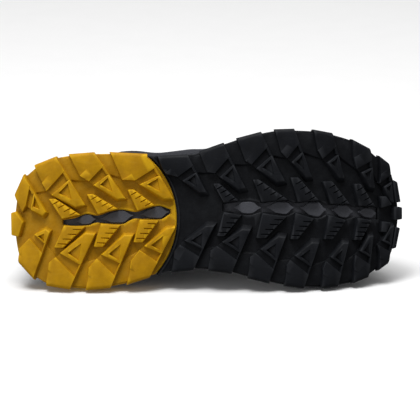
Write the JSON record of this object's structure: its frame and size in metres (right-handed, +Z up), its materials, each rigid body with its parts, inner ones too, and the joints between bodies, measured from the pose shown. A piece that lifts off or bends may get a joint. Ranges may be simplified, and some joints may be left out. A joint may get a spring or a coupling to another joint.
{
  "type": "outdoor sneaker",
  "caption": "Right outdoor sneaker lying on its medial side: lugged two-colour rubber outsole with a wavy centre window, foam midsole, plain low-cut laced upper.",
  "frame": {"origin": "centre of the lying shoe's bounding box, at floor level", "axes": "+X from heel to toe, +Y from tread to collar, +Z up: the lateral side is on top, the medial side on the floor"},
  "size_m": [0.254, 0.1118, 0.1024],
  "materials": {
    "rubber_yellow": "matte moulded rubber",
    "rubber_black": "matte moulded rubber",
    "foam_grey": "moulded foam with a fine skin",
    "fabric_black": "woven synthetic with smooth overlays",
    "fabric_grey": "knit over foam",
    "lace_black": "braided cord"
  },
  "bodies": {
    "root": {"outsole_heel": "rubber_yellow", "outsole_forefoot": "rubber_black", "midsole": "foam_grey", "upper": "fabric_black", "insole": "fabric_grey", "tongue": "fabric_black", "lace": "lace_black"}
  },
  "joints": []
}
